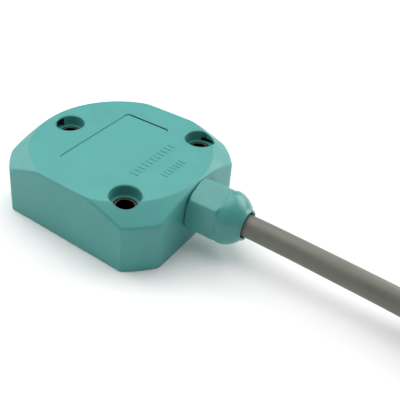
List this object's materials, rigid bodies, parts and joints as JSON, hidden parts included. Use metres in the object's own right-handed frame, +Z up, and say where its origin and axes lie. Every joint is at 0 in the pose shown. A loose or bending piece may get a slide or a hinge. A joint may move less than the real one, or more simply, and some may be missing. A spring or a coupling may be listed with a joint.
{
  "type": "inductive proximity sensor",
  "caption": "Flat surface-mounted inductive proximity sensor with a bevelled round-cornered plastic housing, counterbored mounting holes, a side cable gland and a coiled grey cable.",
  "frame": {"origin": "middle of the housing on its mounting plane, at the underside of the base plate", "axes": "+X along the cable where it leaves the gland, +Z up from the mounting plane through the sensing face"},
  "size_m": [0.2338, 0.093, 0.0239],
  "materials": {
    "teal_pbt": "satin moulded PBT",
    "teal_base": "satin moulded PBT",
    "bushing_metal": "dull nickel-plated",
    "label_teal": "smooth satin",
    "teal_nut": "satin moulded",
    "seal_rubber": "matt",
    "slip_nylon": "satin",
    "ferrite": "sintered, matt",
    "former_plastic": "satin",
    "enamelled_copper": "enamelled wire",
    "board_green": "solder mask",
    "chip_black": "moulded epoxy",
    "terminal_grey": "moulded",
    "capacitor_tan": "fired ceramic",
    "can_aluminium": "drawn can",
    "wire_brown": "extruded PVC",
    "wire_blue": "extruded PVC",
    "wire_black": "extruded PVC",
    "cable_grey": "satin extruded PVC jacket",
    "tie_black": "moulded nylon",
    "tinned_metal": "tin-plated copper"
  },
  "bodies": {
    "sensor": {"housing": "teal_pbt", "base_plate": "teal_base", "bushing_rear": "bushing_metal", "bushing_front": "bushing_metal", "bushing_right": "bushing_metal", "label_plate": "label_teal", "seal_insert": "seal_rubber", "ferrite_core": "ferrite", "coil_former": "former_plastic", "copper_winding": "enamelled_copper", "circuit_board": "board_green", "oscillator_chip": "chip_black", "output_transistor": "chip_black", "terminal_block": "terminal_grey", "chip_resistor_1": "chip_black", "chip_resistor_2": "chip_black", "chip_resistor_3": "chip_black", "chip_resistor_4": "chip_black", "chip_capacitor_1": "capacitor_tan", "chip_capacitor_2": "capacitor_tan", "smoothing_capacitor": "can_aluminium", "choke": "ferrite", "inner_wire_brown": "wire_brown", "inner_wire_blue": "wire_blue", "inner_wire_black": "wire_black", "cable_lead": "cable_grey", "cable_coil": "cable_grey", "cable_tail": "cable_grey", "cable_tie": "tie_black", "end_wire_brown": "wire_brown", "end_wire_blue": "wire_blue", "end_wire_black": "wire_black", "ferrule_brown": "tinned_metal", "ferrule_blue": "tinned_metal", "ferrule_black": "tinned_metal"},
    "thrust_ring": {"slip_washer": "slip_nylon"},
    "nut": {"gland_nut": "teal_nut"}
  },
  "joints": [
    {"name": "gland_travel", "type": "slide", "parent": "sensor", "child": "thrust_ring", "axis": [1, 0, 0], "range_m": [0, 0.0045]},
    {"name": "gland_turn", "type": "hinge", "parent": "thrust_ring", "child": "nut", "pos_m": [0.0405, 0, 0.0125], "axis": [1, 0, 0], "range_deg": [0, 1080]}
  ],
  "couplings": [
    {"joint": "gland_turn", "follows": "gland_travel", "rad_per_m": 4188.8}
  ]
}
